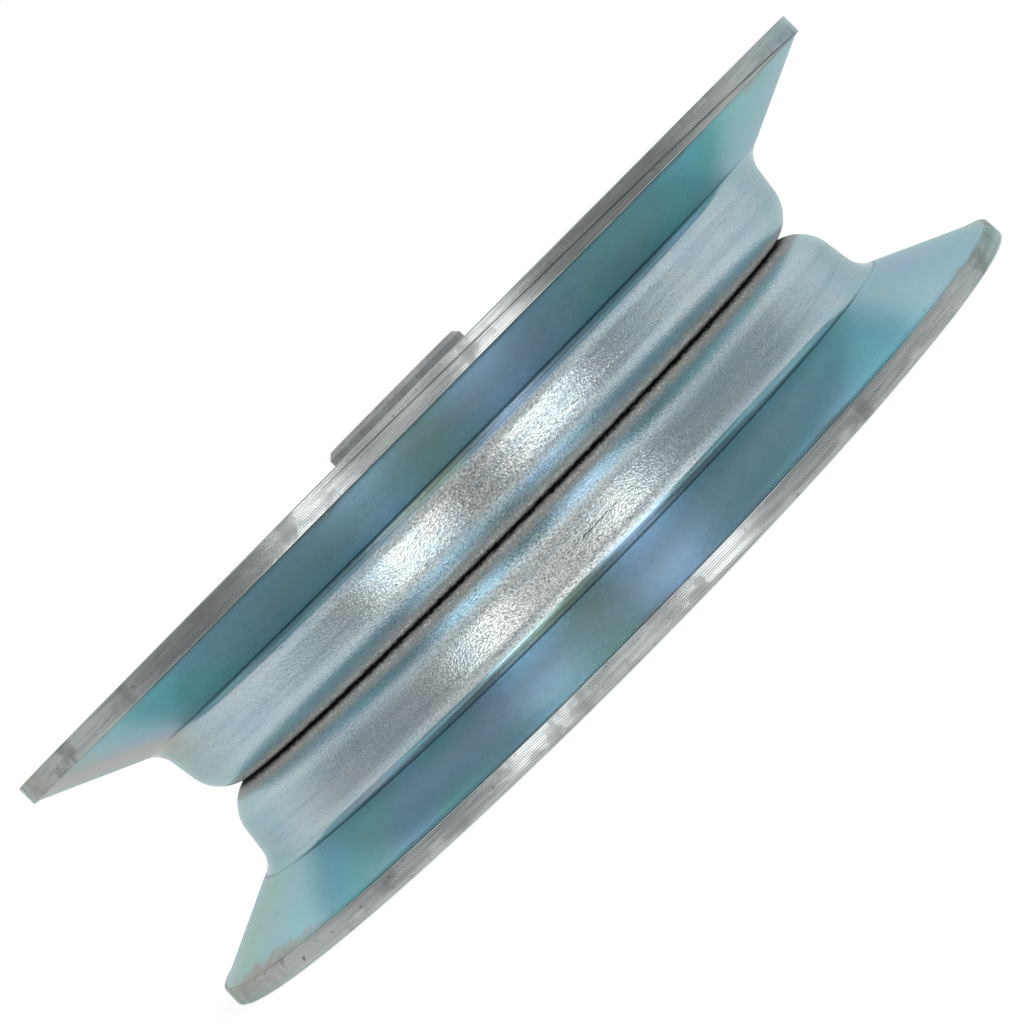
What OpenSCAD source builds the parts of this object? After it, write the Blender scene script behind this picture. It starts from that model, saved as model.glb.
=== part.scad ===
// Deck pulley: a V idler of two pressed sheet halves, riveted back to back around a sealed ball bearing.
// The spin axis is Z. The seam of the two halves lies at z = 0, and the spacer sleeve stands out at the top.

/* [Sheave halves] */
// Diameter over the rims
rim_d = 114.3; // [108:0.1:122]
// Width over both rims, measured at their sharp corners
rim_w = 32.3; // [29:0.1:40]
// Thickness of the pressed sheet
sheet_t = 1.9; // [1.5:0.05:2.4]
// Slope of each groove side, measured from the plane of the wheel
side_angle = 24.7; // [20:0.1:29]
// Diameter where the floor of the groove would meet its side in a sharp corner
floor_d = 88.6; // [85:0.1:93]
// Slope of the groove floor down to the seam
floor_angle = 8; // [3:0.5:13]
// Bend radius between groove floor and web, on the groove side
seam_bend_r = 4.5; // [3:0.1:6]
// Bend radius between groove floor and groove side, on the groove side
side_bend_r = 2.8; // [1.2:0.1:4.5]
// Edge break of the upper rim, which is trimmed sharp
upper_edge_break = 0.1; // [0.05:0.05:0.4]
// Edge break of the lower rim, which is worn round
lower_edge_break = 0.3; // [0.05:0.05:0.6]

/* [Bearing pocket] */
// Bend radius between web and pocket wall, on the outer face
pocket_bend_r = 1; // [0.5:0.1:1.8]
// Diameter of the hole in the retaining lip
lip_hole_d = 34.6; // [33.8:0.1:36.4]

/* [Sheave rivets] */
// Number of rivets
rivet_count = 6; // [3:1:9]
// Diameter of the circle that the rivets stand on
rivet_circle_d = 62; // [58:0.5:66]
// Diameter of a rivet's shank
rivet_d = 5; // [3:0.1:6]
// Diameter of a rivet's head
rivet_head_d = 8.6; // [7.4:0.1:10]
// Height of a rivet's head
rivet_head_h = 1.9; // [1:0.1:2.6]

/* [Ball bearing] */
// Bore of the inner ring
bearing_bore = 17; // [16:0.1:18]
// Width of both rings
bearing_w = 12; // [11.2:0.1:14]
// Diameter of a ball
ball_d = 6.747; // [6.3:0.001:7]
// Outside diameter of the inner ring's shoulders
inner_shoulder_d = 23.9; // [23.3:0.1:24.4]
// Inside diameter of the outer ring's shoulders
outer_shoulder_d = 33.1; // [32.6:0.1:33.6]
// Thickness of the outer ring at its shoulders
outer_ring_t = 3.45; // [3.1:0.05:4.2]
// Chamfer on the outer corners of the outer ring
ring_chamfer = 0.6; // [0.3:0.1:0.9]
// Chamfer on the bore corners of the inner ring
bore_chamfer = 0.4; // [0.2:0.05:0.6]
// Radius of the raceways, as a multiple of the ball's diameter
raceway_ratio = 0.52; // [0.515:0.005:0.54]

/* [Cage] */
// Thickness of the cage ribbon
cage_t = 0.6; // [0.4:0.05:0.8]
// Width of the cage ribbon, as a share of the space between the ring shoulders
cage_fill = 0.74; // [0.6:0.02:0.84]
// Diameter of a cage rivet's shank
cage_rivet_d = 1.2; // [0.8:0.05:1.4]
// Diameter of a cage rivet's head
cage_rivet_head_d = 2; // [1.6:0.05:2.4]
// Height of a cage rivet's head
cage_rivet_head_h = 0.45; // [0.3:0.05:0.7]

/* [Seals] */
// Thickness of a seal
seal_t = 0.8; // [0.7:0.05:1]
// Depth of a seal's outer face below the end of the rings
seal_depth = 0.35; // [0.25:0.05:0.5]
// Height of the steps in both rings that a seal sits on and runs on
seal_step = 0.45; // [0.3:0.05:0.6]
// Depth of the groove that holds a seal's bead
seal_groove = 0.3; // [0.15:0.05:0.5]
// Depth of the ring-shaped recess in a seal's face
seal_recess = 0.2; // [0.1:0.05:0.4]

/* [Spacer sleeve] */
// Outside diameter of the sleeve
sleeve_d = 19.5; // [18.4:0.1:21.8]
// Height of the sleeve's end above the upper rim
sleeve_proud = 1.5; // [0.5:0.1:8]
// Bore for the bolt
bolt_bore_d = 9.9; // [8:0.1:12]
// Chamfer around the sleeve's end
sleeve_chamfer = 0.6; // [0.2:0.1:1.2]
// Chamfer at both ends of the bolt bore
bolt_chamfer = 0.5; // [0.2:0.1:1]

/* [Fits] */
// Radial gap at a pressed seat
seat_gap = 0.01; // [0.005:0.005:0.03]
// Gap between a ball and each raceway
race_gap = 0.03; // [0.02:0.005:0.06]
// Gap between a ball and its cage pocket
pocket_gap = 0.1; // [0.06:0.01:0.2]
// Gap between a seal's lip and the inner ring
seal_gap = 0.05; // [0.03:0.01:0.1]
// Radial gap around a rivet's shank
rivet_gap = 0.05; // [0.02:0.01:0.15]

/* [Hidden] */
ball_count = 8;
BALLS = [for (i = [1:ball_count]) str("bearing_ball_", i)];
$fn = 96;

zinc = [0.56, 0.66, 0.70];
rivet_steel = [0.66, 0.68, 0.68];
ring_steel = [0.74, 0.75, 0.76];
ball_steel = [0.82, 0.83, 0.84];
cage_steel = [0.60, 0.58, 0.54];
rubber = [0.10, 0.10, 0.11];
sintered = [0.36, 0.36, 0.36];

// Sheet profile: x is the distance from the spin axis, y the height above the seam.
rim_r = rim_d / 2;
rim_outer = [rim_r, rim_w / 2];
rim_inner = rim_outer - [0, sheet_t / cos(side_angle)];
side_run = [cos(side_angle), sin(side_angle)];
floor_run = [sin(floor_angle), cos(floor_angle)];
floor_face = [cos(floor_angle), -sin(floor_angle)];
side_turn = 90 - side_angle - floor_angle;
floor_corner = [floor_d / 2, rim_inner.y - (rim_r - floor_d / 2) * tan(side_angle)];
side_bend = floor_corner - floor_run * side_bend_r * tan(side_turn / 2) + floor_face * side_bend_r;
seam_bend = [
    floor_corner.x + (seam_bend_r - floor_corner.y) * tan(floor_angle) - seam_bend_r / cos(floor_angle),
    seam_bend_r
];
bearing_d = outer_shoulder_d + 2 * outer_ring_t;
seat_r = bearing_d / 2 + seat_gap;
pocket_h = bearing_w / 2;
pocket_bend = [seat_r + sheet_t + pocket_bend_r, sheet_t + pocket_bend_r];
lip_bend = [seat_r - ring_chamfer, pocket_h - ring_chamfer];
lip_l = lip_bend.x - lip_hole_d / 2;
pocket_wall_l = lip_bend.y - pocket_bend.y;
web_l = seam_bend.x - pocket_bend.x;
floor_l = (side_bend - seam_bend) * floor_run;
side_l = rim_d / 2;

// Bearing sections
pitch_r = (inner_shoulder_d + outer_shoulder_d) / 4;
ball_r = ball_d / 2;
raceway_r = raceway_ratio * ball_d;
inner_race_r = pitch_r - ball_r - race_gap + raceway_r;
outer_race_r = pitch_r + ball_r + race_gap - raceway_r;
seal_top = bearing_w / 2 - seal_depth;
seal_foot = seal_top - seal_t;
seal_seat_r = outer_shoulder_d / 2 + seal_step;
seal_bead_r = seal_seat_r + seal_groove;
seal_bead_top = seal_foot + 0.7 * seal_t;
seal_land_r = inner_shoulder_d / 2 - seal_step;
seal_lip_r = seal_land_r + seal_gap;
cage_pocket_r = ball_r + pocket_gap;
cage_w = cage_fill * (outer_shoulder_d - inner_shoulder_d) / 2;
cage_inner_r = pitch_r - cage_w / 2;
cage_outer_r = pitch_r + cage_w / 2;
ball_step = 360 / ball_count;

sleeve_top = rim_w / 2 + sleeve_proud;
bolt_r = bolt_bore_d / 2;

// Shapes shared by several pieces

// Half of a shape below the seam is the upper one turned over.
module turned_over() {
    mirror([0, 0, 1]) children();
}

// Straight run of a sheet, with its left face on the Y axis; what follows starts at its end
module straight(length) {
    square([sheet_t, length]);
    translate([0, length]) children();
}

// Sector of a ring from the X axis, turned left for a positive angle and right for a negative one
module sector(r_in, r_out, turn) {
    reach = 2 * r_out;
    intersection() {
        difference() {
            circle(r_out);
            circle(r_in);
        }
        translate([-reach, 0]) square([2 * reach, reach]);
        rotate(turn) translate([-reach, -reach]) square([2 * reach, reach]);
    }
}

// Bend of a sheet to the left, around a centre on its left side
module bend_left(r_in, turn) {
    translate([-r_in, 0]) {
        sector(r_in, r_in + sheet_t, turn);
        rotate(turn) translate([r_in, 0]) children();
    }
}

// Bend of a sheet to the right, around a centre on its right side
module bend_right(r_in, turn) {
    translate([r_in + sheet_t, 0]) {
        sector(r_in, r_in + sheet_t, -turn);
        rotate(-turn) translate([-r_in - sheet_t, 0]) children();
    }
}

// What breaking an edge takes off the corner between two runs
module corner_waste(corner, run_a, run_b, size) {
    overrun = (run_a - run_b) * size;
    polygon([
        corner + run_a * size + overrun,
        corner + run_b * size - overrun,
        corner - (run_a + run_b) * 2 * size
    ]);
}

// Section of a ring from its upper half, listed from its outside to its inside
function both_halves(upper) =
    concat(upper, [for (i = [len(upper) - 1:-1:0]) [upper[i].x, -upper[i].y]]);

// Domed rivet along Z through two sheets that meet at z = 0
module rivet(shank_d, head_d, head_h, grip) {
    dome_r = (head_h * head_h + head_d * head_d / 4) / (2 * head_h);
    module head() {
        intersection() {
            translate([0, grip + head_h - dome_r]) circle(dome_r);
            translate([0, grip]) square([head_d / 2, head_h]);
        }
    }
    rotate_extrude() {
        head();
        mirror([0, 1]) head();
        translate([0, -grip]) square([shank_d / 2, 2 * grip]);
    }
}

// Copies around the spin axis, on a circle
module around(count, radius, first = 0) {
    for (i = [0:count - 1])
        rotate([0, 0, first + i * 360 / count])
            translate([radius, 0, 0])
                children();
}

// Sheave halves

// The whole sheet, from the retaining lip out to the rim, as it runs through the press tool
module sheet_path() {
    translate([lip_hole_d / 2, pocket_h + sheet_t])
        rotate(-90)
            straight(lip_l)
            bend_right(ring_chamfer, 90)
            straight(pocket_wall_l)
            bend_left(pocket_bend_r, 90)
            straight(web_l)
            bend_left(seam_bend_r - sheet_t, 90 - floor_angle)
            straight(floor_l)
            bend_right(side_bend_r, side_turn)
            straight(side_l);
}

module sheet_section(edge_break) {
    difference() {
        intersection() {
            sheet_path();
            translate([0, -sheet_t]) square([rim_r, rim_w]);
        }
        corner_waste(rim_inner, [0, 1], -side_run, edge_break);
        corner_waste(rim_outer, [0, -1], -side_run, edge_break);
    }
}

module sheave_half(edge_break) {
    difference() {
        rotate_extrude() sheet_section(edge_break);
        around(rivet_count, rivet_circle_d / 2)
            translate([0, 0, -sheet_t])
                cylinder(r = rivet_d / 2 + rivet_gap, h = 3 * sheet_t);
    }
}

module upper_sheave_half() {
    color(zinc) sheave_half(upper_edge_break);
}

module lower_sheave_half() {
    color(zinc) turned_over() sheave_half(lower_edge_break);
}

module sheave_rivets() {
    color(rivet_steel)
        around(rivet_count, rivet_circle_d / 2)
            rivet(rivet_d, rivet_head_d, rivet_head_h, sheet_t);
}

// Ball bearing

module bearing_outer_ring() {
    half_w = bearing_w / 2;
    outer_r = bearing_d / 2;
    shoulder_r = outer_shoulder_d / 2;
    color(ring_steel)
        rotate_extrude()
            difference() {
                polygon(both_halves([
                    [outer_r, half_w - ring_chamfer],
                    [outer_r - ring_chamfer, half_w],
                    [seal_seat_r, half_w],
                    [seal_seat_r, seal_bead_top],
                    [seal_bead_r, seal_bead_top],
                    [seal_bead_r, seal_foot],
                    [shoulder_r, seal_foot]
                ]));
                translate([outer_race_r, 0]) circle(raceway_r);
            }
}

module bearing_inner_ring() {
    half_w = bearing_w / 2;
    bore_r = bearing_bore / 2;
    land_foot = seal_foot - seal_step;
    color(ring_steel)
        rotate_extrude()
            difference() {
                polygon(both_halves([
                    [inner_shoulder_d / 2, land_foot],
                    [seal_land_r, land_foot],
                    [seal_land_r, half_w - bore_chamfer],
                    [seal_land_r - bore_chamfer, half_w],
                    [bore_r + bore_chamfer, half_w],
                    [bore_r, half_w - bore_chamfer]
                ]));
                translate([inner_race_r, 0]) circle(raceway_r);
            }
}

module bearing_ball(i) {
    color(ball_steel)
        rotate([0, 0, (i - 1) * ball_step])
            translate([pitch_r, 0, 0])
                sphere(ball_r);
}

// Pressed ribbon: flat between the balls and bulged into a pocket over each one
module cage_half() {
    bulge_r = cage_pocket_r + cage_t;
    difference() {
        intersection() {
            union() {
                cylinder(r = cage_outer_r, h = cage_t);
                around(ball_count, pitch_r) sphere(bulge_r);
            }
            difference() {
                cylinder(r = cage_outer_r, h = bulge_r);
                translate([0, 0, -cage_t]) cylinder(r = cage_inner_r, h = bulge_r + 2 * cage_t);
            }
        }
        around(ball_count, pitch_r) sphere(cage_pocket_r);
        around(ball_count, pitch_r, ball_step / 2)
            translate([0, 0, -cage_t])
                cylinder(r = cage_rivet_d / 2 + seat_gap, h = 3 * cage_t);
    }
}

module upper_cage_half() {
    color(cage_steel) cage_half();
}

module lower_cage_half() {
    color(cage_steel) turned_over() cage_half();
}

module cage_rivets() {
    color(cage_steel)
        around(ball_count, pitch_r, ball_step / 2)
            rivet(cage_rivet_d, cage_rivet_head_d, cage_rivet_head_h, cage_t);
}

// Moulded seal: a bead in the outer ring's groove, a recessed face and a thin lip beside the inner ring
module bearing_seal() {
    lip_slope = seal_t / 2;
    face_in = seal_lip_r + seal_t;
    face_out = seal_seat_r - seal_t;
    rotate_extrude()
        difference() {
            polygon([
                [seal_lip_r, seal_foot + lip_slope / 2],
                [seal_lip_r, seal_top - lip_slope],
                [seal_lip_r + lip_slope, seal_top],
                [seal_seat_r - seat_gap, seal_top],
                [seal_seat_r - seat_gap, seal_bead_top - seat_gap],
                [seal_bead_r - seat_gap, seal_bead_top - seat_gap],
                [seal_bead_r - seat_gap, seal_foot],
                [seal_lip_r + lip_slope, seal_foot]
            ]);
            translate([face_in, seal_top - seal_recess])
                square([face_out - face_in, 2 * seal_recess]);
        }
}

module upper_bearing_seal() {
    color(rubber) bearing_seal();
}

module lower_bearing_seal() {
    color(rubber) turned_over() bearing_seal();
}

// Sleeve: a spigot through the inner ring, and a shoulder that stands on its upper face
module spacer_sleeve() {
    sleeve_r = sleeve_d / 2;
    spigot_r = bearing_bore / 2 - seat_gap;
    ring_face = bearing_w / 2;
    color(sintered)
        rotate_extrude()
            polygon([
                [bolt_r, bolt_chamfer - ring_face],
                [bolt_r + bolt_chamfer, -ring_face],
                [spigot_r - bore_chamfer, -ring_face],
                [spigot_r, bore_chamfer - ring_face],
                [spigot_r, ring_face],
                [sleeve_r, ring_face],
                [sleeve_r, sleeve_top - sleeve_chamfer],
                [sleeve_r - sleeve_chamfer, sleeve_top],
                [bolt_r + bolt_chamfer, sleeve_top],
                [bolt_r, sleeve_top - bolt_chamfer]
            ]);
}

upper_sheave_half();
lower_sheave_half();
sheave_rivets();
spacer_sleeve();
bearing_outer_ring();
bearing_inner_ring();
upper_cage_half();
lower_cage_half();
cage_rivets();
upper_bearing_seal();
lower_bearing_seal();
for (i = [1:ball_count])
    bearing_ball(i);
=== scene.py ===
"""Looks of the deck pulley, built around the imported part.

Lengths in the tables are millimetres, directions are degrees, and the scene is in metres.
"""

import math

import bpy
from mathutils import Matrix, Vector


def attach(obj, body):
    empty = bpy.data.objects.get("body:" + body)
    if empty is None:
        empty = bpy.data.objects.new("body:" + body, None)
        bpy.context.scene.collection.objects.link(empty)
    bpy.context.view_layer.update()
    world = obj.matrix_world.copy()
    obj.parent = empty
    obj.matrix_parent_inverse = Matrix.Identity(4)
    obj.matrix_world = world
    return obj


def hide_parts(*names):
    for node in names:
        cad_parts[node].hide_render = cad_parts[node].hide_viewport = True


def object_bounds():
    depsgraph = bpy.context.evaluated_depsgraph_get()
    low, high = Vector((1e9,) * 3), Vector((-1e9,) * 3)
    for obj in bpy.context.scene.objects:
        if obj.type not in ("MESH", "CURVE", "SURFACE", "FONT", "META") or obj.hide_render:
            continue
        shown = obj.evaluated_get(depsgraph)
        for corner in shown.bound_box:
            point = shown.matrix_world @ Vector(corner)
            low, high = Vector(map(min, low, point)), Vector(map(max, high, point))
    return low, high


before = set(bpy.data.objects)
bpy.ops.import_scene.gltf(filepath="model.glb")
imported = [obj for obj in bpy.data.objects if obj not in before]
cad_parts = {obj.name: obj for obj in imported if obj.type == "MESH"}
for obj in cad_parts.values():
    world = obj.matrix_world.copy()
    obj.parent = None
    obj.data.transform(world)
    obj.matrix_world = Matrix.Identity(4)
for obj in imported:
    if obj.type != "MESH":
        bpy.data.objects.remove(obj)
cad_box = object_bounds()

MM = 0.001

# Sheet section, with the values of the CAD source
RIM_R = 57.15
RIM_HALF_W = 16.15
SHEET_T = 1.9
SIDE_ANGLE = math.radians(24.7)
FLOOR_R = 44.3
FLOOR_ANGLE = math.radians(8)
SEAM_BEND_R = 4.5
SIDE_BEND_R = 2.8
POCKET_BEND_R = 1.0
LIP_BEND_R = 0.6
LIP_HOLE_R = 17.3
SEAT_R = 20.01
POCKET_H = 6.0
RIVET_COUNT = 6
RIVET_CIRCLE_R = 31.0
RIVET_HOLE_R = 2.55
BALL_COUNT = 8

# Mesh of a sheave half
SEGMENTS = 640
HOLE_SIDES = 48
CORNER_STEPS = 5
EDGE_STEPS = 6
MIN_STEP = 0.1
SHARP_ANGLE = math.radians(35)
UPPER_EDGE_R = 0.1
LOWER_EDGE_R = 0.3
# Press lines beside the groove side's bend: distance from the axis, height, depth and half width
CREASE_R = 45.69
CREASE_H = 8.79
CREASES = ((CREASE_R, CREASE_H, 0.030, 0.18), (45.28, 8.57, 0.020, 0.09))
CREASE_REACH = 1.0
# Burr that trimming has turned out at the rim's groove corner
BURR_REACH = 0.8
BURR_H = 0.2
BURR_EDGE_R = 0.12
# The lower rim's worn edge leans by this much over its width
LOWER_RIM_LEAN = 0.09
# Sway of the pressed flanges: where it starts, then the waves around the rim, the height and the phase of each
SWAY_START_R = 46
UPPER_SWAY = ((2, 0.020, 0.4), (5, 0.012, 1.9), (9, 0.006, 0.7))
LOWER_SWAY = ((2, 0.018, 2.1), (4, 0.014, 0.2), (11, 0.005, 1.3))
# Small dents of the lower rim: direction in degrees, depth and half width
RIM_DENTS = (
    (-118, 0.16, 0.7), (-104.5, 0.10, 0.5), (-97, 0.13, 0.9), (-83.5, 0.18, 0.8),
    (-71, 0.09, 0.5), (-62, 0.15, 0.7), (-49, 0.12, 0.6), (-131, 0.12, 0.8),
    (12, 0.14, 0.7), (47, 0.10, 0.6), (88, 0.16, 0.8), (140, 0.12, 0.7), (196, 0.15, 0.9),
)
# How far the dents reach in towards the axis, and along it from the rim's outer corner
DENT_REACH = 0.8
DENT_H = 1

# Camera, fitted to the outline of both rims and the hub
CAMERA_DISTANCE = 378.88
CAMERA_ELEVATION = 0.0391
CAMERA_ROLL = 0.7913
CAMERA_PITCH = -0.0012
CAMERA_FOCAL_PX = 3558.13
CAMERA_CLIP = (0.01, 50)
IMAGE_PX = 1024
SENSOR_MM = 36


# Sheave halves

def sheet_stations(fine):
    """Points of the dished face from the lip to past the rim, each with the direction to the other face."""
    stations = []
    place = [LIP_HOLE_R, POCKET_H + SHEET_T, 0.0]

    def mark():
        x, z, heading = place
        stations.append((x, z, math.sin(heading), -math.cos(heading)))

    def straight(length, steps):
        for _ in range(steps):
            place[0] += length / steps * math.cos(place[2])
            place[1] += length / steps * math.sin(place[2])
            mark()

    def bend(r_in, turn, steps):
        radius = r_in if turn > 0 else -(r_in + SHEET_T)
        x, z, heading = place
        cx = x - radius * math.sin(heading)
        cz = z + radius * math.cos(heading)
        for i in range(1, steps + 1):
            place[2] = heading + turn * i / steps
            place[0] = cx + radius * math.sin(place[2])
            place[1] = cz - radius * math.cos(place[2])
            mark()

    side_turn = math.pi / 2 - SIDE_ANGLE - FLOOR_ANGLE
    rim_inner_z = RIM_HALF_W - SHEET_T / math.cos(SIDE_ANGLE)
    corner_z = rim_inner_z - (RIM_R - FLOOR_R) * math.tan(SIDE_ANGLE)
    seam_x = FLOOR_R + (SEAM_BEND_R - corner_z) * math.tan(FLOOR_ANGLE) - SEAM_BEND_R / math.cos(FLOOR_ANGLE)
    lip_bend_x = SEAT_R - LIP_BEND_R
    pocket_bend_x = SEAT_R + SHEET_T + POCKET_BEND_R
    corner_run = SIDE_BEND_R * math.tan(side_turn / 2)
    floor_top = corner_z - corner_run * math.cos(FLOOR_ANGLE)
    floor_foot = SEAM_BEND_R - SEAM_BEND_R * math.sin(FLOOR_ANGLE)
    side_start_x = FLOOR_R + corner_run * math.cos(SIDE_ANGLE)
    side_length = (RIM_R - side_start_x) / math.cos(SIDE_ANGLE)

    mark()
    straight(lip_bend_x - LIP_HOLE_R, 2)
    bend(LIP_BEND_R, -math.pi / 2, 6)
    straight(POCKET_H - LIP_BEND_R - SHEET_T - POCKET_BEND_R, 2)
    bend(POCKET_BEND_R, math.pi / 2, 6)
    straight(seam_x - pocket_bend_x, 4)
    bend(SEAM_BEND_R - SHEET_T, math.pi / 2 - FLOOR_ANGLE, 20 if fine else 10)
    straight((floor_top - floor_foot) / math.cos(FLOOR_ANGLE), 6 if fine else 2)
    bend(SIDE_BEND_R, -side_turn, 26 if fine else 8)
    straight(CREASE_REACH, 9 if fine else 1)
    straight(side_length - CREASE_REACH, 8 if fine else 4)
    return stations


def rounded_corner(corner, before, after, radius, steps):
    """Points that round a corner between the directions back along the way in and on along the way out."""
    half = math.acos(max(-1, min(1, before.dot(after)))) / 2
    reach = radius / math.tan(half)
    centre = corner + (before + after).normalized() * (radius / math.sin(half))
    start = corner + before * reach - centre
    end = corner + after * reach - centre
    turn = start.angle_signed(end)
    return [centre + Matrix.Rotation(-turn * i / steps, 2) @ start for i in range(steps + 1)]


def crease_depth(x, z):
    """Depth of the press tool's two lines where the groove side runs into its bend."""
    depth = 0.0
    for line_x, line_z, deepest, half_width in CREASES:
        depth += deepest * math.exp(-(math.hypot(x - line_x, z - line_z) / half_width) ** 2)
    return depth


def sheet_outline(edge_r, lean):
    """Closed section of a half: its dished face out to the rim, the trimmed edge, and the groove face back."""
    dished = [Vector((x, z)) for x, z, _, _ in sheet_stations(False)]
    groove = []
    for x, z, nx, nz in sheet_stations(True):
        face = SHEET_T - crease_depth(x + SHEET_T * nx, z + SHEET_T * nz)
        groove.append(Vector((x + face * nx, z + face * nz)))
    side = Vector((math.cos(SIDE_ANGLE), math.sin(SIDE_ANGLE)))
    up = Vector((0, 1))
    rim_outer = Vector((RIM_R, RIM_HALF_W))
    rim_inner = Vector((RIM_R - lean, RIM_HALF_W - SHEET_T / math.cos(SIDE_ANGLE)))
    burr = rim_inner - up * BURR_H
    burr_start = rim_inner - side * BURR_REACH
    burr_way = (burr_start - burr).normalized()
    dished = [p for p in dished if p.x < RIM_R - 3 * edge_r]
    groove = [p for p in groove if p.x < burr_start.x - MIN_STEP] + [burr_start]
    top = rounded_corner(rim_outer, -side, -up, edge_r, CORNER_STEPS)
    foot = rounded_corner(burr, up, burr_way, BURR_EDGE_R, CORNER_STEPS)
    face = [top[-1].lerp(foot[0], i / EDGE_STEPS) for i in range(1, EDGE_STEPS)]
    return dished + top + face + foot + groove[::-1]


def press_sway(radius, angle, lobes):
    """Axial sway of a pressed flange, zero at the bend and largest at the rim."""
    reach = max(0.0, (radius - SWAY_START_R) / (RIM_R - SWAY_START_R))
    return reach * sum(size * math.sin(count * angle + phase) for count, size, phase in lobes)


def dent_depth(radius, angle):
    """Depth of the rim's dents, fading out towards the axis."""
    depth = 0.0
    for degrees, deepest, half_width in RIM_DENTS:
        away = math.remainder(angle - math.radians(degrees), math.tau) * RIM_R
        depth += deepest * math.exp(-(away / half_width) ** 2)
    return depth * max(0.0, 1 - (RIM_R - radius) / DENT_REACH)


def sheave_half(name, node, sign, edge_r, lean, lobes, dented):
    """Pressed half as one closed mesh with its rivet holes, in place of its CAD node."""
    outline = sheet_outline(edge_r, lean)
    count = len(outline)
    verts = []
    for j in range(SEGMENTS):
        angle = math.tau * j / SEGMENTS
        for p in outline:
            r = p.x - (dent_depth(p.x, angle) if dented and p.y > RIM_HALF_W - DENT_H else 0)
            z = min(p.y + press_sway(p.x, angle, lobes), RIM_HALF_W)
            verts.append((r * MM * math.cos(angle), r * MM * math.sin(angle), sign * z * MM))
    faces = []
    for j in range(SEGMENTS):
        a, b = j * count, (j + 1) % SEGMENTS * count
        for i in range(count):
            k = (i + 1) % count
            face = (a + i, a + k, b + k, b + i)
            faces.append(face if sign > 0 else face[::-1])
    mesh = bpy.data.meshes.new(name)
    mesh.from_pydata(verts, [], faces)
    piece = bpy.data.objects.new(name, mesh)
    bpy.context.scene.collection.objects.link(piece)
    bore_rivet_holes(piece)
    mesh = piece.data
    mesh.polygons.foreach_set("use_smooth", [True] * len(mesh.polygons))
    mesh.set_sharp_from_angle(angle=SHARP_ANGLE)
    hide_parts(node)
    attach(piece, "sheave")
    return piece


def bore_rivet_holes(piece):
    """Cuts the rivets' holes through the web."""
    verts, faces = [], []
    for k in range(RIVET_COUNT):
        turn = math.tau * k / RIVET_COUNT
        cx, cy = RIVET_CIRCLE_R * math.cos(turn), RIVET_CIRCLE_R * math.sin(turn)
        first = len(verts)
        for z in (-3 * SHEET_T, 3 * SHEET_T):
            for i in range(HOLE_SIDES):
                a = math.tau * i / HOLE_SIDES
                verts.append(((cx + RIVET_HOLE_R * math.cos(a)) * MM, (cy + RIVET_HOLE_R * math.sin(a)) * MM, z * MM))
        low = [first + i for i in range(HOLE_SIDES)]
        high = [v + HOLE_SIDES for v in low]
        faces.append(low[::-1])
        faces.append(high)
        faces += [(low[i - 1], low[i], high[i], high[i - 1]) for i in range(HOLE_SIDES)]
    cutter_mesh = bpy.data.meshes.new("rivet_hole_cutter")
    cutter_mesh.from_pydata(verts, [], faces)
    cutter = bpy.data.objects.new("rivet_hole_cutter", cutter_mesh)
    bpy.context.scene.collection.objects.link(cutter)
    cut = piece.modifiers.new("rivet_holes", "BOOLEAN")
    cut.operation = "DIFFERENCE"
    cut.solver = "MANIFOLD"
    cut.object = cutter
    graph = bpy.context.evaluated_depsgraph_get()
    bored = bpy.data.meshes.new_from_object(piece.evaluated_get(graph))
    piece.modifiers.clear()
    plain = piece.data
    piece.data = bored
    bored.name = piece.name
    bpy.data.meshes.remove(plain)
    bpy.data.objects.remove(cutter)
    bpy.data.meshes.remove(cutter_mesh)


upper_half = sheave_half(
    "upper_sheave_half_pressed", "upper_sheave_half", 1, UPPER_EDGE_R, 0.0, UPPER_SWAY, False)
lower_half = sheave_half(
    "lower_sheave_half_pressed", "lower_sheave_half", -1, LOWER_EDGE_R, LOWER_RIM_LEAN, LOWER_SWAY, True)


# Materials

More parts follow.
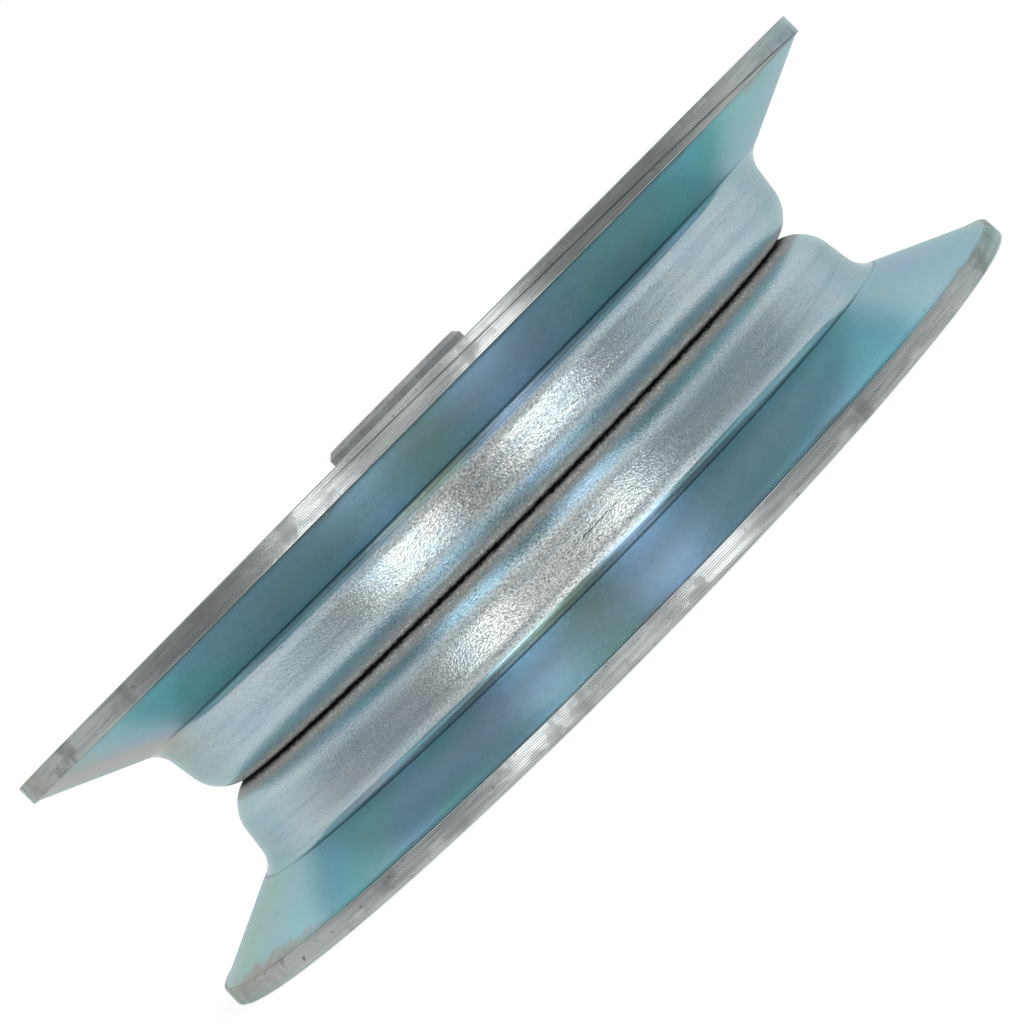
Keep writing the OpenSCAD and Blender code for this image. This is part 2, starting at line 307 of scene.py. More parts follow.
class Shader:
    """A material whose nodes are made by short calls."""

    def __init__(self, name):
        self.material = bpy.data.materials.new(name)
        self.material.use_nodes = True
        self.tree = self.material.node_tree
        self.bsdf = self.tree.nodes["Principled BSDF"]
        self.place = self.node("ShaderNodeTexCoord").outputs["Object"]

    def node(self, kind, **settings):
        made = self.tree.nodes.new(kind)
        for key, value in settings.items():
            setattr(made, key, value)
        return made

    def give(self, socket, value):
        if isinstance(value, bpy.types.NodeSocket):
            self.tree.links.new(value, socket)
        else:
            socket.default_value = value

    def math(self, operation, a, b=0.0):
        made = self.node("ShaderNodeMath", operation=operation)
        self.give(made.inputs[0], a)
        self.give(made.inputs[1], b)
        return made.outputs[0]

    def span(self, value, low, high, start=0.0, end=1.0, kind="SMOOTHSTEP"):
        made = self.node("ShaderNodeMapRange", interpolation_type=kind)
        for socket, given in zip(made.inputs, (value, low, high, start, end)):
            self.give(socket, given)
        return made.outputs[0]

    def stretched(self, sx, sy, sz):
        made = self.node("ShaderNodeVectorMath", operation="MULTIPLY")
        self.give(made.inputs[0], self.place)
        self.give(made.inputs[1], (sx, sy, sz))
        return made.outputs[0]

    def noise(self, scale, detail=2.0, rough=0.5, vector=None, warp=0.0, shift=0.0):
        made = self.node("ShaderNodeTexNoise")
        place = self.place if vector is None else vector
        if shift:
            moved = self.node("ShaderNodeVectorMath", operation="ADD")
            self.give(moved.inputs[0], place)
            self.give(moved.inputs[1], (shift, shift, shift))
            place = moved.outputs[0]
        self.give(made.inputs["Vector"], place)
        self.give(made.inputs["Scale"], scale)
        self.give(made.inputs["Detail"], detail)
        self.give(made.inputs["Roughness"], rough)
        self.give(made.inputs["Distortion"], warp)
        return made.outputs["Fac"]

    def cells(self, scale, vector=None):
        made = self.node("ShaderNodeTexVoronoi")
        self.give(made.inputs["Vector"], self.place if vector is None else vector)
        self.give(made.inputs["Scale"], scale)
        return made.outputs["Distance"]

    def mix(self, share, a, b):
        made = self.node("ShaderNodeMix", data_type="RGBA")
        self.give(made.inputs["Factor"], share)
        self.give(made.inputs["A"], a if isinstance(a, bpy.types.NodeSocket) else (*a, 1.0))
        self.give(made.inputs["B"], b if isinstance(b, bpy.types.NodeSocket) else (*b, 1.0))
        return made.outputs["Result"]

    def blend(self, share, a, b):
        made = self.node("ShaderNodeMix", data_type="FLOAT")
        self.give(made.inputs["Factor"], share)
        self.give(made.inputs["A"], a)
        self.give(made.inputs["B"], b)
        return made.outputs["Result"]

    def bump(self, height, distance, onto=None):
        made = self.node("ShaderNodeBump")
        self.give(made.inputs["Height"], height)
        self.give(made.inputs["Distance"], distance)
        if onto is not None:
            self.give(made.inputs["Normal"], onto)
        return made.outputs["Normal"]

    def axis_distance(self):
        """Distance from the spin axis and height above the seam, in millimetres, and the height's size."""
        split = self.node("ShaderNodeSeparateXYZ")
        self.give(split.inputs[0], self.place)
        x_square = self.math("POWER", split.outputs["X"], 2.0)
        y_square = self.math("POWER", split.outputs["Y"], 2.0)
        radius = self.math("MULTIPLY", self.math("SQRT", self.math("ADD", x_square, y_square)), 1 / MM)
        height = self.math("MULTIPLY", split.outputs["Z"], 1 / MM)
        return radius, height, self.math("ABSOLUTE", height)

    def azimuth(self):
        """Direction around the spin axis in degrees, from -Y."""
        split = self.node("ShaderNodeSeparateXYZ")
        self.give(split.inputs[0], self.place)
        turn = self.math("ARCTAN2", split.outputs["X"], self.math("MULTIPLY", split.outputs["Y"], -1.0))
        return self.math("MULTIPLY", turn, 180 / math.pi)

    def around(self, along, up, out):
        """Place as arc length, height and distance from the axis in millimetres, each times a factor."""
        radius, height, _ = self.axis_distance()
        made = self.node("ShaderNodeCombineXYZ")
        self.give(made.inputs["X"], self.math("MULTIPLY", self.azimuth(), along * math.radians(FLOOR_R)))
        self.give(made.inputs["Y"], self.math("MULTIPLY", height, up))
        self.give(made.inputs["Z"], self.math("MULTIPLY", radius, out))
        return made.outputs[0]

    def window(self, value, middle, half_width):
        """One at the middle, fading to zero at half_width to either side."""
        return self.span(self.math("ABSOLUTE", self.math("SUBTRACT", value, middle)), half_width, 0.0)

    def all_of(self, *shares):
        found = shares[0]
        for share in shares[1:]:
            found = self.math("MULTIPLY", found, share)
        return found

    def finish(self, **inputs):
        for name, value in inputs.items():
            self.give(self.bsdf.inputs[name.replace("_", " ")], value)
        return self.material


# Where the zones of the plated sheet begin and end: distance from the axis, and height to either side of the seam
RIM_FROM_R = (56.72, 56.86)
SIDE_FROM_R = (44.9, 46.1)
FLOOR_TO_R = (46.0, 45.4)
FLOOR_TO_H = (8.1, 7.5)
SEAM_TO_R = (43.6, 43.2)
GROOVE_FACE_TO_H = (10.1, 9.5)
# Base colours of the groove's sides, of the dished faces and of the groove's floor
SIDE_BLUE = (0.510, 0.715, 0.830)
SIDE_GREEN = (0.460, 0.765, 0.765)
SIDE_VIOLET = (0.565, 0.690, 0.890)
# The middle green and the teal are partly the plating's own colour and partly painted sheen
SIDE_MIDDLE = (0.505, 0.725, 0.670)
# Painted highlight: a blue glow of the lamps on the groove side
SIDE_PAINTED_HIGHLIGHT = (0.540, 0.680, 0.880)
SIDE_TEAL = (0.355, 0.765, 0.765)
SIDE_PALE = (0.480, 0.690, 0.640)
DISHED_GREY = (0.500, 0.585, 0.625)
FLOOR_DARK = (0.410, 0.525, 0.590)
FLOOR_LIGHT = (0.485, 0.570, 0.610)
# Painted highlight: pale, neutral tone of the floor where the lamps' highlights fall
FLOOR_HIGHLIGHT_TONE = (0.590, 0.600, 0.550)
FLOOR_STREAK = (0.270, 0.360, 0.420)
# Painted reflection: pale blue on the bend beside the seam
SEAM_BEND_REFLECTION = (0.600, 0.700, 0.740)
HAZE_COLOUR = (0.560, 0.560, 0.530)
STAIN_COLOUR = (0.600, 0.560, 0.510)
SMUDGE_COLOUR = (0.440, 0.385, 0.345)
RUST_COLOUR = (0.20, 0.155, 0.12)
DUST_DARK = (0.310, 0.285, 0.245)
DUST_LIGHT = (0.460, 0.420, 0.355)
EDGE_LIGHT = (0.480, 0.505, 0.500)
EDGE_DARK = (0.230, 0.255, 0.260)
EDGE_BLOTCH = (0.160, 0.160, 0.155)
# Tints of the same zones at a low angle
TINT_TEAL = (0.420, 0.540, 0.550)
TINT_VIOLET = (0.460, 0.520, 0.620)
TINT_GREEN = (0.430, 0.590, 0.520)
TINT_BLUE = (0.470, 0.560, 0.610)
TINT_FLOOR = (0.540, 0.675, 0.680)
TINT_HAZE = (0.560, 0.545, 0.510)
TINT_STAIN = (0.600, 0.565, 0.505)
TINT_PALE = (0.490, 0.580, 0.515)
TINT_SMUDGE = (0.530, 0.475, 0.440)
# Height of the grain and of the rim's turning lines, in metres
GRAIN_RELIEF = 0.00003
LINE_RELIEF = 0.000006


def zinc_plate():
    """Clear blue zinc plating on pressed sheet, with its wear and dirt."""
    s = Shader("zinc_plated_sheet")
    radius, height, away = s.axis_distance()
    azimuth = s.azimuth()
    rim = s.span(radius, *RIM_FROM_R)
    side = s.span(radius, *SIDE_FROM_R)
    floor_zone = s.all_of(s.span(radius, *FLOOR_TO_R), s.span(away, *FLOOR_TO_H))
    above = s.span(height, -0.1, 0.1)
    below = s.math("SUBTRACT", 1.0, above)
    near_seam = s.span(radius, *SEAM_TO_R)
    rise = s.math("MULTIPLY", s.math("SUBTRACT", radius, CREASE_R), math.tan(SIDE_ANGLE))
    groove_face = s.span(s.math("SUBTRACT", away, rise), *GROOVE_FACE_TO_H)

    # Colour of the plating: teal and blue, drifting to green, violet and a brownish haze, and its tint at a low
    # angle. A painted highlight and partly painted sheen sit on the side facing the front.
    green = s.span(s.noise(30.0, 2.0, 0.5, warp=0.6), 0.44, 0.60)
    violet = s.span(s.noise(38.0, 2.0, 0.5, warp=0.5, shift=3.7), 0.50, 0.66)
    fine_green = s.span(s.noise(210.0, 3.0, 0.6, warp=0.4, shift=7.4), 0.50, 0.68)
    haze = s.span(s.noise(75.0, 4.0, 0.6, shift=1.3), 0.55, 0.74)
    stain = s.all_of(above, s.window(azimuth, -66.0, 17.0), s.span(radius, 42.6, 45.4))
    # Partly the plating's own colour and partly painted sheen: green in the middle and teal at about 42 degrees to
    # either side, fixed by direction from the front
    middle = s.math("MULTIPLY", s.window(azimuth, -2.0, 7.0), 0.7)
    # Painted highlight: a blue glow of the lamps on the groove side, just beside the middle
    lit = s.math("MULTIPLY", s.window(azimuth, 10.0, 9.0), 0.6)
    teal = s.math("ADD", s.window(azimuth, 42.0, 12.0), s.window(azimuth, -42.0, 12.0))
    side_colour = s.mix(green, SIDE_BLUE, SIDE_GREEN)
    side_colour = s.mix(s.math("MULTIPLY", violet, 0.7), side_colour, SIDE_VIOLET)
    side_colour = s.mix(middle, side_colour, SIDE_MIDDLE)
    side_colour = s.mix(lit, side_colour, SIDE_PAINTED_HIGHLIGHT)
    side_colour = s.mix(s.math("MULTIPLY", teal, s.blend(above, 0.4, 0.75)), side_colour, SIDE_TEAL)
    side_colour = s.mix(groove_face, s.mix(0.65, side_colour, DISHED_GREY), side_colour)
    cloud = s.span(s.noise(120.0, 4.0, 0.6), 0.35, 0.70)
    floor_colour = s.mix(cloud, FLOOR_DARK, FLOOR_LIGHT)
    # Painted highlight: the floor turns pale and neutral in a zone facing the front, where the lamps' highlights fall
    highlight_zone = s.all_of(s.window(azimuth, -4.0, 34.0), s.span(s.noise(200.0, 3.0, 0.6, shift=6.1), 0.25, 0.55))
    floor_colour = s.mix(s.math("MULTIPLY", highlight_zone, 0.8), floor_colour, FLOOR_HIGHLIGHT_TONE)
    streak = s.span(s.noise(1.0, 3.0, 0.55, vector=s.around(0.05, 0.9, 0.3)), 0.50, 0.66)
    floor_colour = s.mix(s.math("MULTIPLY", streak, 0.4), floor_colour, FLOOR_STREAK)
    colour = s.mix(side, floor_colour, side_colour)
    # Painted reflection: a pale blue band on the bend beside the seam
    colour = s.mix(s.math("MULTIPLY", s.span(away, 3.7, 2.2), 0.6), colour, SEAM_BEND_REFLECTION)
    colour = s.mix(s.math("MULTIPLY", haze, 0.35), colour, HAZE_COLOUR)
    colour = s.mix(s.math("MULTIPLY", stain, 0.55), colour, STAIN_COLOUR)
    mottle = s.noise(5200.0, 2.0, 0.7, shift=0.9)
    colour = s.mix(s.span(mottle, 0.35, 0.65, 0.16, 0.0, "LINEAR"), colour, (0.13, 0.21, 0.25))
    colour = s.mix(s.span(mottle, 0.45, 0.75, 0.0, 0.16, "LINEAR"), colour, (0.74, 0.82, 0.84))
    tint = s.mix(s.math("MULTIPLY", violet, 0.4), TINT_TEAL, TINT_VIOLET)
    tint = s.mix(s.math("MULTIPLY", fine_green, 0.7), tint, TINT_GREEN)
    bluer = s.all_of(above, s.window(azimuth, 66.0, 20.0), 0.8)
    tint = s.mix(bluer, tint, TINT_BLUE)
    tint = s.mix(s.math("MULTIPLY", side, groove_face), TINT_FLOOR, tint)
    tint = s.mix(s.math("MULTIPLY", haze, 0.7), tint, TINT_HAZE)
    tint = s.mix(s.math("MULTIPLY", stain, 0.85), tint, TINT_STAIN)
    pale = s.all_of(below, s.window(azimuth, -70.0, 24.0), s.span(radius, 44.0, 47.0))
    colour = s.mix(s.math("MULTIPLY", pale, 0.6), colour, SIDE_PALE)
    tint = s.mix(s.math("MULTIPLY", pale, 0.85), tint, TINT_PALE)

    # Bend beside the groove side with painted reflections, the press line that ends it with painted shade, and a
    # painted glint beside it
    bend = s.all_of(s.span(away, 7.5, 8.1), s.span(away, 8.85, 8.70), s.span(radius, 44.2, 44.6))
    # Painted reflections on the bend: a yellow-green and a blue-white streak of the lamps' light
    colour = s.mix(s.all_of(bend, s.window(azimuth, -6.0, 9.0), 0.6), colour, (0.640, 0.680, 0.500))
    colour = s.mix(s.all_of(bend, s.window(azimuth, 10.0, 9.0), 0.6), colour, (0.620, 0.710, 0.880))
    on_groove = s.span(radius, 45.1, 45.4)
    # Painted shade: a dark line along the press line's crease, fading towards the sides seen from the front
    ends = s.math("ADD", s.window(azimuth, 68.0, 16.0), s.window(azimuth, -68.0, 16.0))
    line = s.all_of(s.window(away, CREASE_H, 0.15), on_groove, s.span(ends, 0.0, 1.0, 1.0, 0.25))
    # Painted highlight: a pale glint beside the press line
    glint = s.all_of(s.window(away, 8.96, 0.12), on_groove)
    colour = s.mix(s.math("MULTIPLY", line, 0.8), colour, (0.05, 0.09, 0.14))
    colour = s.mix(s.math("MULTIPLY", glint, 0.3), colour, (0.70, 0.82, 0.90))

    # Grain of the stretched sheet on the groove floor, and short scratches
    grain = s.noise(7.6, 2.0, 0.65, vector=s.around(0.5, 1.0, 1.0))
    pebble = s.cells(6.4, vector=s.around(0.6, 1.0, 1.0))
    patchy = s.span(s.noise(150.0, 3.0, 0.6, shift=9.6), 0.40, 0.70, 0.12, 0.35)
    # The pits and flecks are real grain, painted stronger in the highlight zone: partly painted highlight
    patchy = s.math("ADD", patchy, s.math("MULTIPLY", highlight_zone, 0.55))
    pit = s.math("MULTIPLY", s.span(grain, 0.50, 0.36), floor_zone)
    fleck = s.math("MULTIPLY", s.span(grain, 0.54, 0.66), floor_zone)
    colour = s.mix(s.all_of(pit, patchy, 0.9), colour, (0.110, 0.125, 0.135))
    colour = s.mix(s.all_of(fleck, patchy, 0.7), colour, (0.800, 0.820, 0.820))
    scratch = s.span(s.noise(1.0, 1.0, 0.5, vector=s.around(0.7, 5.0, 2.5)), 0.765, 0.78)
    colour = s.mix(s.math("MULTIPLY", scratch, 0.65), colour, (0.10, 0.12, 0.13))

    # A nick, chatter marks behind it and two scores on the floor
    on_floor = s.span(radius, 43.2, 43.5)
    nick_at = s.span(azimuth, 11.9, 16.6, 4.42, 4.06, "LINEAR")
    nick_half = s.math("ADD", s.math("MULTIPLY", s.window(azimuth, 14.5, 2.8), 0.2), 0.0001)
    nick = s.window(s.math("SUBTRACT", height, nick_at), 0.0, nick_half)
    beat = s.math("SINE", s.math("MULTIPLY", azimuth, math.tau / 0.9))
    chatter = s.all_of(s.window(height, 4.44, 0.12), s.span(beat, 0.2, 0.8))
    chatter = s.all_of(chatter, s.span(azimuth, 17.0, 18.5), s.span(azimuth, 27.0, 24.0))
    nick = s.math("MULTIPLY", s.math("MAXIMUM", nick, chatter), on_floor)
    upper_score = s.all_of(s.window(height, 5.0, 0.08), s.span(azimuth, 3.0, 5.0), s.span(azimuth, 11.5, 9.5))
    lower_score = s.all_of(s.window(height, -5.12, 0.12), s.span(azimuth, -2.0, 1.0), s.span(azimuth, 11.0, 8.0))
    scores = s.all_of(s.math("MAXIMUM", upper_score, lower_score), on_floor, s.span(grain, 0.62, 0.45))
    colour = s.mix(s.math("MULTIPLY", scores, 0.85), colour, (0.07, 0.08, 0.09))
    colour = s.mix(nick, colour, (0.92, 0.92, 0.91))

    # Dust, painted black shade at the seam, and bright specks beside the seam
    ragged = s.math("ADD", away, s.span(s.noise(2600.0, 3.0, 0.65, shift=6.6), 0.25, 0.75, -0.28, 0.28, "LINEAR"))
    grime = s.math("MULTIPLY", s.span(ragged, 1.45, 0.55), near_seam)
    # Painted shade: near-black where the two halves meet
    seam_shade = s.math("MULTIPLY", s.span(ragged, 0.36, 0.12), near_seam)
    dust = s.mix(s.span(s.noise(900.0, 3.0, 0.6, shift=4.4), 0.35, 0.65), DUST_DARK, DUST_LIGHT)
    speck = s.span(s.noise(4600.0, 1.0, 0.5, shift=2.1), 0.56, 0.62)
    speck = s.all_of(speck, s.window(away, 0.60, 0.30), near_seam)
    colour = s.mix(s.math("MULTIPLY", grime, 0.7), colour, dust)
    colour = s.mix(seam_shade, colour, (0.020, 0.021, 0.020))
    colour = s.mix(speck, colour, (0.86, 0.86, 0.84))

    # Brown smudges on the groove side beside the rim
    smudge = s.all_of(s.window(radius, 56.4, 1.5), s.span(s.noise(95.0, 4.0, 0.65, shift=2.9), 0.55, 0.70))
    fringe = s.span(s.noise(260.0, 4.0, 0.65, shift=5.8), 0.3, 0.7, -1.2, 1.2, "LINEAR")
    deposit = s.span(s.math("ADD", radius, fringe), 55.2, 56.4)
    deposit = s.all_of(below, s.window(azimuth, -60.0, 24.0), deposit)
    smudge = s.math("MULTIPLY", s.math("MAXIMUM", smudge, deposit), groove_face)
    colour = s.mix(s.math("MULTIPLY", smudge, 0.6), colour, SMUDGE_COLOUR)
    tint = s.mix(s.math("MULTIPLY", smudge, 0.8), tint, TINT_SMUDGE)

    # Trimmed rim edge: bright metal with turning lines, blotches, a score on the upper rim, brown at the flange
    wander = s.noise(1.0, 2.0, 0.6, vector=s.stretched(60.0, 60.0, 500.0))
    wave = s.math("SINE", s.math("ADD", s.math("MULTIPLY", height, math.tau / 0.20), s.math("MULTIPLY", wander, 7.0)))
    lines = s.span(wave, -1.0, 1.0, 0.0, 1.0, "LINEAR")
    depth = s.span(s.noise(1.0, 2.0, 0.5, vector=s.stretched(160.0, 160.0, 2600.0), shift=3.3), 0.35, 0.65, 0.35, 1.0)
    blotch = s.span(s.noise(230.0, 4.0, 0.62, shift=5.2), 0.52, 0.70)
    worn_end = s.math("MULTIPLY", below, s.span(azimuth, -30.0, -46.0))
    lines = s.blend(s.math("MULTIPLY", worn_end, 0.85), lines, 0.75)
    hollow = s.math("MULTIPLY", s.math("SUBTRACT", 1.0, lines), depth)
    edge = s.mix(hollow, EDGE_LIGHT, EDGE_DARK)
    edge = s.mix(s.math("MULTIPLY", blotch, 0.5), edge, EDGE_BLOTCH)
    score_at = s.span(azimuth, -10.0, 70.0, 15.50, 14.0, "LINEAR")
    score = s.all_of(s.window(s.math("SUBTRACT", height, score_at), 0.0, 0.10), s.span(azimuth, -14.0, -6.0))
    edge = s.mix(s.math("MULTIPLY", score, 0.9), edge, (0.03, 0.04, 0.045))
    chip = s.math("MULTIPLY", s.span(s.noise(900.0, 3.0, 0.6, shift=9.1), 0.66, 0.70), s.blend(worn_end, 0.4, 1.0))
    edge = s.mix(s.math("MULTIPLY", chip, 0.8), edge, (0.05, 0.05, 0.05))
    colour = s.mix(rim, colour, edge)
    rust = s.all_of(s.window(radius, 56.76, 0.22), s.span(s.noise(160.0, 4.0, 0.65, shift=8.3), 0.28, 0.50))
    colour = s.mix(s.math("MULTIPLY", rust, 0.8), colour, RUST_COLOUR)

    # Roughness and relief
    smooth = s.span(s.noise(80.0, 3.0, 0.55), 0.3, 0.7, 0.23, 0.29, "LINEAR")
    rough = s.blend(floor_zone, smooth, 0.17)
    rough = s.blend(bend, rough, 0.16)
    rough = s.blend(rim, rough, s.span(blotch, 0.0, 1.0, 0.22, 0.38, "LINEAR"))
    rough = s.blend(grime, rough, 0.6)
    relief = s.math("ADD", s.math("MULTIPLY", grain, 0.8), s.math("MULTIPLY", pebble, 0.5))
    normal = s.bump(s.math("MULTIPLY", relief, s.blend(floor_zone, 0.06, 1.0)), GRAIN_RELIEF)
    normal = s.bump(s.math("MULTIPLY", lines, rim), LINE_RELIEF, normal)
    metal = s.math("SUBTRACT", 1.0, s.math("MULTIPLY", grime, 0.75))
    metal = s.math("SUBTRACT", metal, s.math("MAXIMUM", speck, s.math("MULTIPLY", nick, 0.8)))
    return s.finish(Base_Color=colour, Metallic=metal, Roughness=rough, Specular_Tint=tint, Normal=normal)


def sintered_steel():
    s = Shader("sintered_steel")
    cloud = s.span(s.noise(320.0, 4.0, 0.6), 0.3, 0.7)
    colour = s.mix(cloud, (0.215, 0.215, 0.215), (0.350, 0.351, 0.353))
    pores = s.span(s.noise(4200.0, 2.0, 0.6), 0.28, 0.42)
    colour = s.mix(pores, (0.130, 0.130, 0.130), colour)
    normal = s.bump(s.math("ADD", s.noise(1500.0, 3.0, 0.6), pores), 0.00003)
    s.bsdf.inputs["Metallic"].default_value = 0.35
    return s.finish(Base_Color=colour, Roughness=s.span(cloud, 0, 1, 0.5, 0.62, "LINEAR"), Normal=normal)


def worked_steel(name, dark, light, rough_low, rough_high, lines, relief):
    """Turned or ground steel, with fine lines around the spin axis."""
    s = Shader(name)
    turned = s.noise(1.0, 3.0, 0.6, vector=s.stretched(90.0, 90.0, lines))
    cloud = s.span(s.noise(260.0, 3.0, 0.6), 0.3, 0.7)
    colour = s.mix(s.span(turned, 0.3, 0.7), dark, light)
    rough = s.span(cloud, 0.0, 1.0, rough_low, rough_high, "LINEAR")
    s.bsdf.inputs["Metallic"].default_value = 1.0
    return s.finish(Base_Color=colour, Roughness=rough, Normal=s.bump(turned, relief))


def seal_rubber():
    s = Shader("seal_rubber")
    dust = s.span(s.noise(420.0, 4.0, 0.65), 0.45, 0.8)
    colour = s.mix(s.math("MULTIPLY", dust, 0.5), (0.012, 0.012, 0.013), (0.045, 0.044, 0.042))
    normal = s.bump(s.noise(3500.0, 2.0, 0.6), 0.00002)
    return s.finish(Base_Color=colour, Roughness=s.span(dust, 0, 1, 0.42, 0.62, "LINEAR"), Normal=normal)


zinc = zinc_plate()
finishes = {
    "sheave_rivets": worked_steel(
        "rivet_steel", (0.36, 0.43, 0.46), (0.50, 0.55, 0.57), 0.24, 0.38, 3000.0, 0.00001),
    "spacer_sleeve": sintered_steel(),
    "bearing_outer_ring": worked_steel(
        "bearing_steel", (0.48, 0.49, 0.50), (0.60, 0.61, 0.61), 0.16, 0.24, 9000.0, 0.000004),
    "upper_bearing_seal": seal_rubber(),
    "upper_cage_half": worked_steel(
        "cage_steel", (0.40, 0.38, 0.35), (0.52, 0.50, 0.47), 0.28, 0.4, 1500.0, 0.000008),
    "bearing_ball_1": worked_steel(
        "ball_steel", (0.60, 0.61, 0.62), (0.64, 0.65, 0.66), 0.05, 0.09, 300.0, 0.000001),
}
finishes["bearing_inner_ring"] = finishes["bearing_outer_ring"]
finishes["lower_bearing_seal"] = finishes["upper_bearing_seal"]
finishes["lower_cage_half"] = finishes["cage_rivets"] = finishes["upper_cage_half"]
for number in range(2, BALL_COUNT + 1):
    finishes[f"bearing_ball_{number}"] = finishes["bearing_ball_1"]
for name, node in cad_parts.items():
    node.data.materials.clear()
    node.data.materials.append(finishes.get(name, zinc))
for half in (upper_half, lower_half):
    half.data.materials.clear()
    half.data.materials.append(zinc)


# Stage, light and camera

FLOOR_SIZE = 8.0
FLOOR_ALBEDO = 0.7
FLOOR_GLOW = 0.5
WORLD_LIGHT = 0.8
# Share of the light that reflections find in front of the part, in the room and on the table
FRONT_SHADE = 0.44
TABLE_SHADE = 0.31
# Where the shade sets in: directions to the room's front and up to its ceiling, and places on the table in metres
FRONT_FROM_Y = (0.62, -0.08)
CEILING_FROM_Z = (0.10, 0.85)
TABLE_FROM_Y = (-0.05, -0.105)
TABLE_LAMP_H = 0.5


def either(tree, *sockets):
    """The largest of some sockets."""
    found = sockets[0]
    for socket in sockets[1:]:
        larger = tree.nodes.new("ShaderNodeMath")
        larger.operation = "MAXIMUM"
        tree.links.new(found, larger.inputs[0])
        tree.links.new(socket, larger.inputs[1])
        found = larger.outputs[0]
    return found


def pale_floor():
    """Pale floor under the part; its reflection is darker in front, where the photo's table is."""
    z = cad_box[0][2]
    half = FLOOR_SIZE / 2
    mesh = bpy.data.meshes.new("floor")
    mesh.from_pydata([(-half, -half, z), (half, -half, z), (half, half, z), (-half, half, z)], [], [(0, 1, 2, 3)])
    floor = bpy.data.objects.new("floor", mesh)
    bpy.context.scene.collection.objects.link(floor)
    material = bpy.data.materials.new("pale_floor")
    material.use_nodes = True
    tree = material.node_tree
    tree.nodes.clear()
    paint = tree.nodes.new("ShaderNodeBsdfDiffuse")
    paint.inputs["Color"].default_value = (FLOOR_ALBEDO, FLOOR_ALBEDO, FLOOR_ALBEDO, 1)
    glow = tree.nodes.new("ShaderNodeEmission")
    path = tree.nodes.new("ShaderNodeLightPath")
    level = tree.nodes.new("ShaderNodeMath")
    level.operation = "MULTIPLY"
    level.inputs[1].default_value = FLOOR_GLOW
    tree.links.new(path.outputs["Is Camera Ray"], level.inputs[0])
    tree.links.new(level.outputs[0], glow.inputs["Strength"])
    lit = tree.nodes.new("ShaderNodeAddShader")
    tree.links.new(paint.outputs[0], lit.inputs[0])
    tree.links.new(glow.outputs[0], lit.inputs[1])
    mirrored = tree.nodes.new("ShaderNodeEmission")
    where = tree.nodes.new("ShaderNodeNewGeometry")
    split = tree.nodes.new("ShaderNodeSeparateXYZ")
    tree.links.new(where.outputs["Position"], split.inputs[0])
    front = tree.nodes.new("ShaderNodeMapRange")
    front.interpolation_type = "SMOOTHSTEP"
    for socket, value in zip(front.inputs[1:5], (*TABLE_FROM_Y, 1.0, TABLE_SHADE)):
        socket.default_value = value
    tree.links.new(split.outputs["Y"], front.inputs["Value"])
    tree.links.new(front.outputs["Result"], mirrored.inputs["Strength"])
    both = tree.nodes.new("ShaderNodeMixShader")
    seen = either(tree, path.outputs["Is Glossy Ray"], path.outputs["Is Transmission Ray"])
    tree.links.new(seen, both.inputs["Fac"])
    tree.links.new(lit.outputs[0], both.inputs[1])
    tree.links.new(mirrored.outputs[0], both.inputs[2])
    out = tree.nodes.new("ShaderNodeOutputMaterial")
    tree.links.new(both.outputs[0], out.inputs["Surface"])
    mesh.materials.append(material)


def white_room():
    """White behind and beside the part, and a darker room in front of it that only its reflections show."""
    world = bpy.data.worlds.new("white_room")
    bpy.context.scene.world = world
    world.use_nodes = True
    tree = world.node_tree
    background = tree.nodes["Background"]
    path = tree.nodes.new("ShaderNodeLightPath")
    where = tree.nodes.new("ShaderNodeTexCoord")
    split = tree.nodes.new("ShaderNodeSeparateXYZ")
    tree.links.new(where.outputs["Generated"], split.inputs[0])
    lift = tree.nodes.new("ShaderNodeMapRange")
    lift.interpolation_type = "SMOOTHSTEP"
    for socket, value in zip(lift.inputs[1:5], (*CEILING_FROM_Z, FRONT_SHADE, 1.0)):
        socket.default_value = value
    tree.links.new(split.outputs["Z"], lift.inputs["Value"])
    front = tree.nodes.new("ShaderNodeMapRange")
    front.interpolation_type = "SMOOTHSTEP"
    for socket, value in zip(front.inputs[1:4], (*FRONT_FROM_Y, 1.0)):
        socket.default_value = value
    tree.links.new(split.outputs["Y"], front.inputs["Value"])
    tree.links.new(lift.outputs["Result"], front.inputs["To Max"])
    room = tree.nodes.new("ShaderNodeMix")
    room.data_type = "FLOAT"
    glossy = either(tree, path.outputs["Is Glossy Ray"], path.outputs["Is Transmission Ray"])
    tree.links.new(glossy, room.inputs["Factor"])
    room.inputs["A"].default_value = WORLD_LIGHT
    tree.links.new(front.outputs["Result"], room.inputs["B"])
    shown = tree.nodes.new("ShaderNodeMix")
    shown.data_type = "FLOAT"
    tree.links.new(path.outputs["Is Camera Ray"], shown.inputs["Factor"])
    tree.links.new(room.outputs["Result"], shown.inputs["A"])
    shown.inputs["B"].default_value = 1.0
    tree.links.new(shown.outputs["Result"], background.inputs["Strength"])
    background.inputs["Color"].default_value = (1, 1, 1, 1)


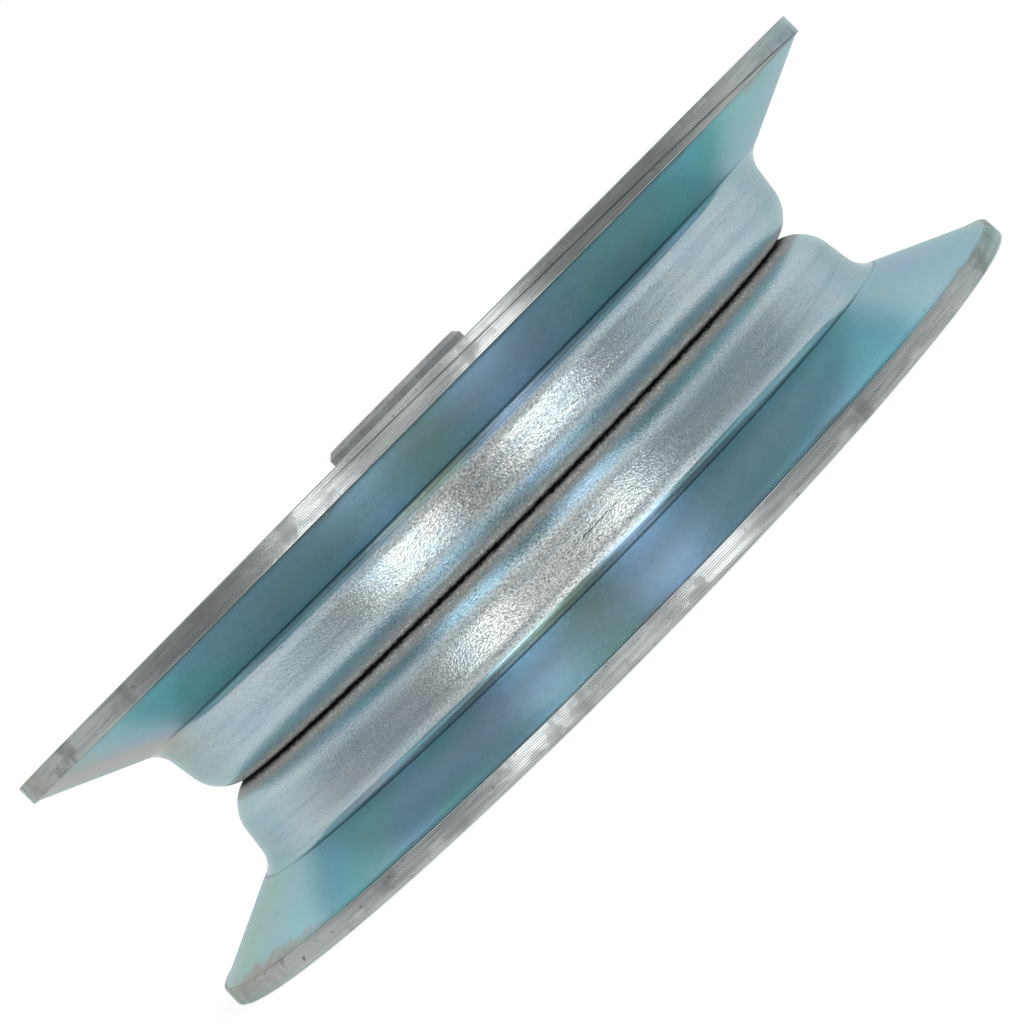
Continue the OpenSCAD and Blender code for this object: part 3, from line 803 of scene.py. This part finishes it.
def softbox(name, azimuth, elevation, distance, width, height, power):
    """Area lamp that faces the part; azimuth 0 is the camera's side, and positive turns towards +X."""
    lamp = bpy.data.lights.new(name, "AREA")
    lamp.shape = "RECTANGLE"
    lamp.size = width
    lamp.size_y = height
    lamp.energy = power
    a, e = math.radians(azimuth), math.radians(elevation)
    away = Vector((math.sin(a) * math.cos(e), -math.cos(a) * math.cos(e), math.sin(e)))
    box = bpy.data.objects.new(name, lamp)
    box.location = away * distance
    box.rotation_euler = away.to_track_quat("Z", "Y").to_euler()
    box.visible_camera = False
    bpy.context.scene.collection.objects.link(box)


def table_lamp(name, x, y, turn, width, depth, power):
    """Small lit panel that lies on the table in front of the part and faces up; lengths in millimetres."""
    lamp = bpy.data.lights.new(name, "AREA")
    lamp.shape = "RECTANGLE"
    lamp.size = width * MM
    lamp.size_y = depth * MM
    lamp.energy = power
    panel = bpy.data.objects.new(name, lamp)
    panel.location = (x * MM, y * MM, cad_box[0][2] + TABLE_LAMP_H * MM)
    panel.rotation_euler = (math.pi, 0, math.radians(turn))
    panel.visible_camera = False
    bpy.context.scene.collection.objects.link(panel)


def photo_camera():
    """Camera at the photo's angle, rolled so that the spin axis lies on the picture's diagonal."""
    data = bpy.data.cameras.new("photo_camera")
    data.sensor_width = SENSOR_MM
    data.lens = SENSOR_MM * CAMERA_FOCAL_PX / IMAGE_PX
    data.clip_start, data.clip_end = CAMERA_CLIP
    camera = bpy.data.objects.new("photo_camera", data)
    bpy.context.scene.collection.objects.link(camera)
    away = Vector((0, -math.cos(CAMERA_ELEVATION), math.sin(CAMERA_ELEVATION)))
    right = Vector((1, 0, 0))
    up = right.cross(-away)
    level = Matrix((right, up, away)).transposed()
    turn = Matrix.Rotation(-CAMERA_ROLL, 3, "Z")
    tilt = Matrix.Rotation(CAMERA_PITCH, 3, "X")
    camera.matrix_world = Matrix.Translation(away * CAMERA_DISTANCE * MM) @ (level @ tilt @ turn).to_4x4()
    bpy.context.scene.camera = camera


pale_floor()
white_room()
softbox("left_strip", -26, 2, 0.55, 0.17, 0.12, 0.26)
softbox("right_strip", 21, 2, 0.55, 0.15, 0.12, 0.23)
softbox("middle_strip", -2, 2, 0.55, 0.15, 0.12, 0.085)
softbox("overhead", 20, 68, 0.9, 0.8, 0.8, 1.9)
table_lamp("left_table_lamp", -47, -119, -27, 52, 36, 0.034)
table_lamp("right_table_lamp", 42, -121, 23, 52, 36, 0.034)
photo_camera()

bpy.context.scene.view_settings.view_transform = "Standard"
